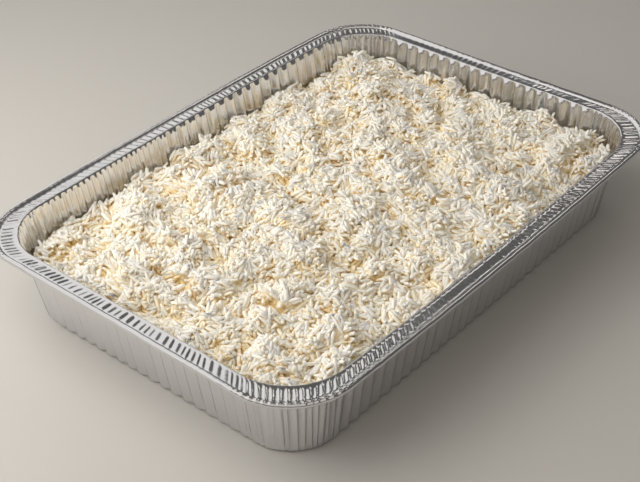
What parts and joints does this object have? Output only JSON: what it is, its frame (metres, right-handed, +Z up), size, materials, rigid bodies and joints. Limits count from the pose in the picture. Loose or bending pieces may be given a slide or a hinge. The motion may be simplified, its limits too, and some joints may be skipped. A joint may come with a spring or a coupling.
{
  "type": "foil tray meal",
  "caption": "Oblong fluted aluminium foil catering tray with a rolled rim, filled with loose steamed long grain rice, lower along the walls and slightly crowned.",
  "frame": {"origin": "middle of the tray's flat underside, on the surface it stands on", "axes": "+X along the tray's long sides, +Y along its short sides, +Z up out of its mouth"},
  "size_m": [0.448, 0.3328, 0.071],
  "materials": {
    "foil": "bright rolled aluminium foil, pressed into flutes, finely creased",
    "rice": "moist steamed white rice, softly translucent"
  },
  "bodies": {
    "root": {"tray": "foil", "rice": "rice"}
  },
  "joints": []
}
